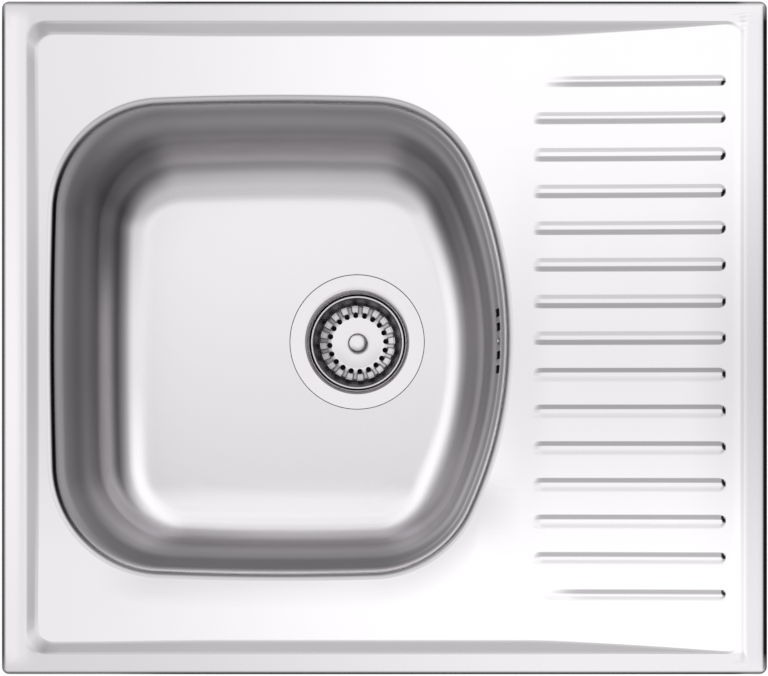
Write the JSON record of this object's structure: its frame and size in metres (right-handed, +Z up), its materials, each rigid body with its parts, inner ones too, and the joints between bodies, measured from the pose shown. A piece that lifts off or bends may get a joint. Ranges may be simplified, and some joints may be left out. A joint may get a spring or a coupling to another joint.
{
  "type": "kitchen sink with drainboard",
  "caption": "Inset pressed-steel kitchen sink with one bowl, a ribbed drainboard, a basket strainer waste, an overflow and worktop clamps.",
  "frame": {"origin": "middle of the front run of the rim seal, on its underside, which rests on the worktop", "axes": "+X to the right, towards the drainboard; +Y to the back; +Z up"},
  "size_m": [0.58, 0.51, 0.2609],
  "materials": {
    "brushed_steel": "satin brushed stainless sheet",
    "polished_steel": "polished stainless",
    "zinc_steel": "zinc plated steel, dull",
    "foam_seal": "closed-cell foam strip",
    "rubber": "moulded black rubber",
    "sound_pad": "bitumen sound-deadening pad",
    "white_plastic": "moulded polypropylene",
    "hose_plastic": "ribbed flexible hose"
  },
  "bodies": {
    "root": {"sink_pressing": "brushed_steel", "rim_seal": "foam_seal", "bowl_sound_pad": "sound_pad", "drainboard_sound_pad": "sound_pad", "earthing_tag": "zinc_steel", "clamp_rail_left": "zinc_steel", "clamp_rail_right": "zinc_steel", "clamp_rail_front": "zinc_steel", "clamp_rail_back": "zinc_steel", "clamp_bracket_left_1": "zinc_steel", "clamp_bracket_left_2": "zinc_steel", "clamp_bracket_right_1": "zinc_steel", "clamp_bracket_right_2": "zinc_steel", "clamp_bracket_front_1": "zinc_steel", "clamp_bracket_front_2": "zinc_steel", "clamp_bracket_back_1": "zinc_steel", "clamp_bracket_back_2": "zinc_steel", "waste_cup": "polished_steel", "flange_gasket": "rubber", "body_gasket": "rubber", "waste_body": "white_plastic", "clamping_bolt": "zinc_steel", "overflow_gasket": "rubber", "overflow_housing": "white_plastic", "overflow_screw": "polished_steel", "overflow_hose": "hose_plastic", "hose_clip_upper": "zinc_steel", "hose_clip_lower": "zinc_steel"},
    "strainer": {"strainer_basket": "polished_steel"},
    "plug": {"plug_knob": "polished_steel", "plug_stem": "zinc_steel", "rubber_plug": "rubber", "plug_retainer": "zinc_steel"},
    "claw_left_1": {"clamp_claw_left_1": "zinc_steel"},
    "screw_left_1": {"clamp_screw_left_1": "zinc_steel"},
    "claw_left_2": {"clamp_claw_left_2": "zinc_steel"},
    "screw_left_2": {"clamp_screw_left_2": "zinc_steel"},
    "claw_right_1": {"clamp_claw_right_1": "zinc_steel"},
    "screw_right_1": {"clamp_screw_right_1": "zinc_steel"},
    "claw_right_2": {"clamp_claw_right_2": "zinc_steel"},
    "screw_right_2": {"clamp_screw_right_2": "zinc_steel"},
    "claw_front_1": {"clamp_claw_front_1": "zinc_steel"},
    "screw_front_1": {"clamp_screw_front_1": "zinc_steel"},
    "claw_front_2": {"clamp_claw_front_2": "zinc_steel"},
    "screw_front_2": {"clamp_screw_front_2": "zinc_steel"},
    "claw_back_1": {"clamp_claw_back_1": "zinc_steel"},
    "screw_back_1": {"clamp_screw_back_1": "zinc_steel"},
    "claw_back_2": {"clamp_claw_back_2": "zinc_steel"},
    "screw_back_2": {"clamp_screw_back_2": "zinc_steel"}
  },
  "joints": [
    {"name": "strainer_lift", "type": "slide", "parent": "root", "child": "strainer", "axis": [0, 0, 1], "range_m": [0, 0.06]},
    {"name": "plug_lift", "type": "slide", "parent": "strainer", "child": "plug", "axis": [0, 0, 1], "range_m": [0, 0.008]},
    {"name": "screw_turn_left_1", "type": "hinge", "parent": "root", "child": "screw_left_1", "pos_m": [-0.263, 0.1091, -0.05], "axis": [0, 0, 1], "range_deg": [-3600, 1440]},
    {"name": "claw_grip_left_1", "type": "slide", "parent": "root", "child": "claw_left_1", "axis": [0, 0, 1], "range_m": [-0.004, 0.01]},
    {"name": "screw_turn_left_2", "type": "hinge", "parent": "root", "child": "screw_left_2", "pos_m": [-0.263, 0.3891, -0.05], "axis": [0, 0, 1], "range_deg": [-3600, 1440]},
    {"name": "claw_grip_left_2", "type": "slide", "parent": "root", "child": "claw_left_2", "axis": [0, 0, 1], "range_m": [-0.004, 0.01]},
    {"name": "screw_turn_right_1", "type": "hinge", "parent": "root", "child": "screw_right_1", "pos_m": [0.263, 0.3891, -0.05], "axis": [0, 0, 1], "range_deg": [-3600, 1440]},
    {"name": "claw_grip_right_1", "type": "slide", "parent": "root", "child": "claw_right_1", "axis": [0, 0, 1], "range_m": [-0.004, 0.01]},
    {"name": "screw_turn_right_2", "type": "hinge", "parent": "root", "child": "screw_right_2", "pos_m": [0.263, 0.1091, -0.05], "axis": [0, 0, 1], "range_deg": [-3600, 1440]},
    {"name": "claw_grip_right_2", "type": "slide", "parent": "root", "child": "claw_right_2", "axis": [0, 0, 1], "range_m": [-0.004, 0.01]},
    {"name": "screw_turn_front_1", "type": "hinge", "parent": "root", "child": "screw_front_1", "pos_m": [0.17, 0.0211, -0.05], "axis": [0, 0, 1], "range_deg": [-3600, 1440]},
    {"name": "claw_grip_front_1", "type": "slide", "parent": "root", "child": "claw_front_1", "axis": [0, 0, 1], "range_m": [-0.004, 0.01]},
    {"name": "screw_turn_front_2", "type": "hinge", "parent": "root", "child": "screw_front_2", "pos_m": [-0.17, 0.0211, -0.05], "axis": [0, 0, 1], "range_deg": [-3600, 1440]},
    {"name": "claw_grip_front_2", "type": "slide", "parent": "root", "child": "claw_front_2", "axis": [0, 0, 1], "range_m": [-0.004, 0.01]},
    {"name": "screw_turn_back_1", "type": "hinge", "parent": "root", "child": "screw_back_1", "pos_m": [-0.17, 0.4771, -0.05], "axis": [0, 0, 1], "range_deg": [-3600, 1440]},
    {"name": "claw_grip_back_1", "type": "slide", "parent": "root", "child": "claw_back_1", "axis": [0, 0, 1], "range_m": [-0.004, 0.01]},
    {"name": "screw_turn_back_2", "type": "hinge", "parent": "root", "child": "screw_back_2", "pos_m": [0.17, 0.4771, -0.05], "axis": [0, 0, 1], "range_deg": [-3600, 1440]},
    {"name": "claw_grip_back_2", "type": "slide", "parent": "root", "child": "claw_back_2", "axis": [0, 0, 1], "range_m": [-0.004, 0.01]}
  ],
  "couplings": [
    {"joint": "screw_turn_left_1", "follows": "claw_grip_left_1", "rad_per_m": -6283.2},
    {"joint": "screw_turn_left_2", "follows": "claw_grip_left_2", "rad_per_m": -6283.2},
    {"joint": "screw_turn_right_1", "follows": "claw_grip_right_1", "rad_per_m": -6283.2},
    {"joint": "screw_turn_right_2", "follows": "claw_grip_right_2", "rad_per_m": -6283.2},
    {"joint": "screw_turn_front_1", "follows": "claw_grip_front_1", "rad_per_m": -6283.2},
    {"joint": "screw_turn_front_2", "follows": "claw_grip_front_2", "rad_per_m": -6283.2},
    {"joint": "screw_turn_back_1", "follows": "claw_grip_back_1", "rad_per_m": -6283.2},
    {"joint": "screw_turn_back_2", "follows": "claw_grip_back_2", "rad_per_m": -6283.2}
  ]
}
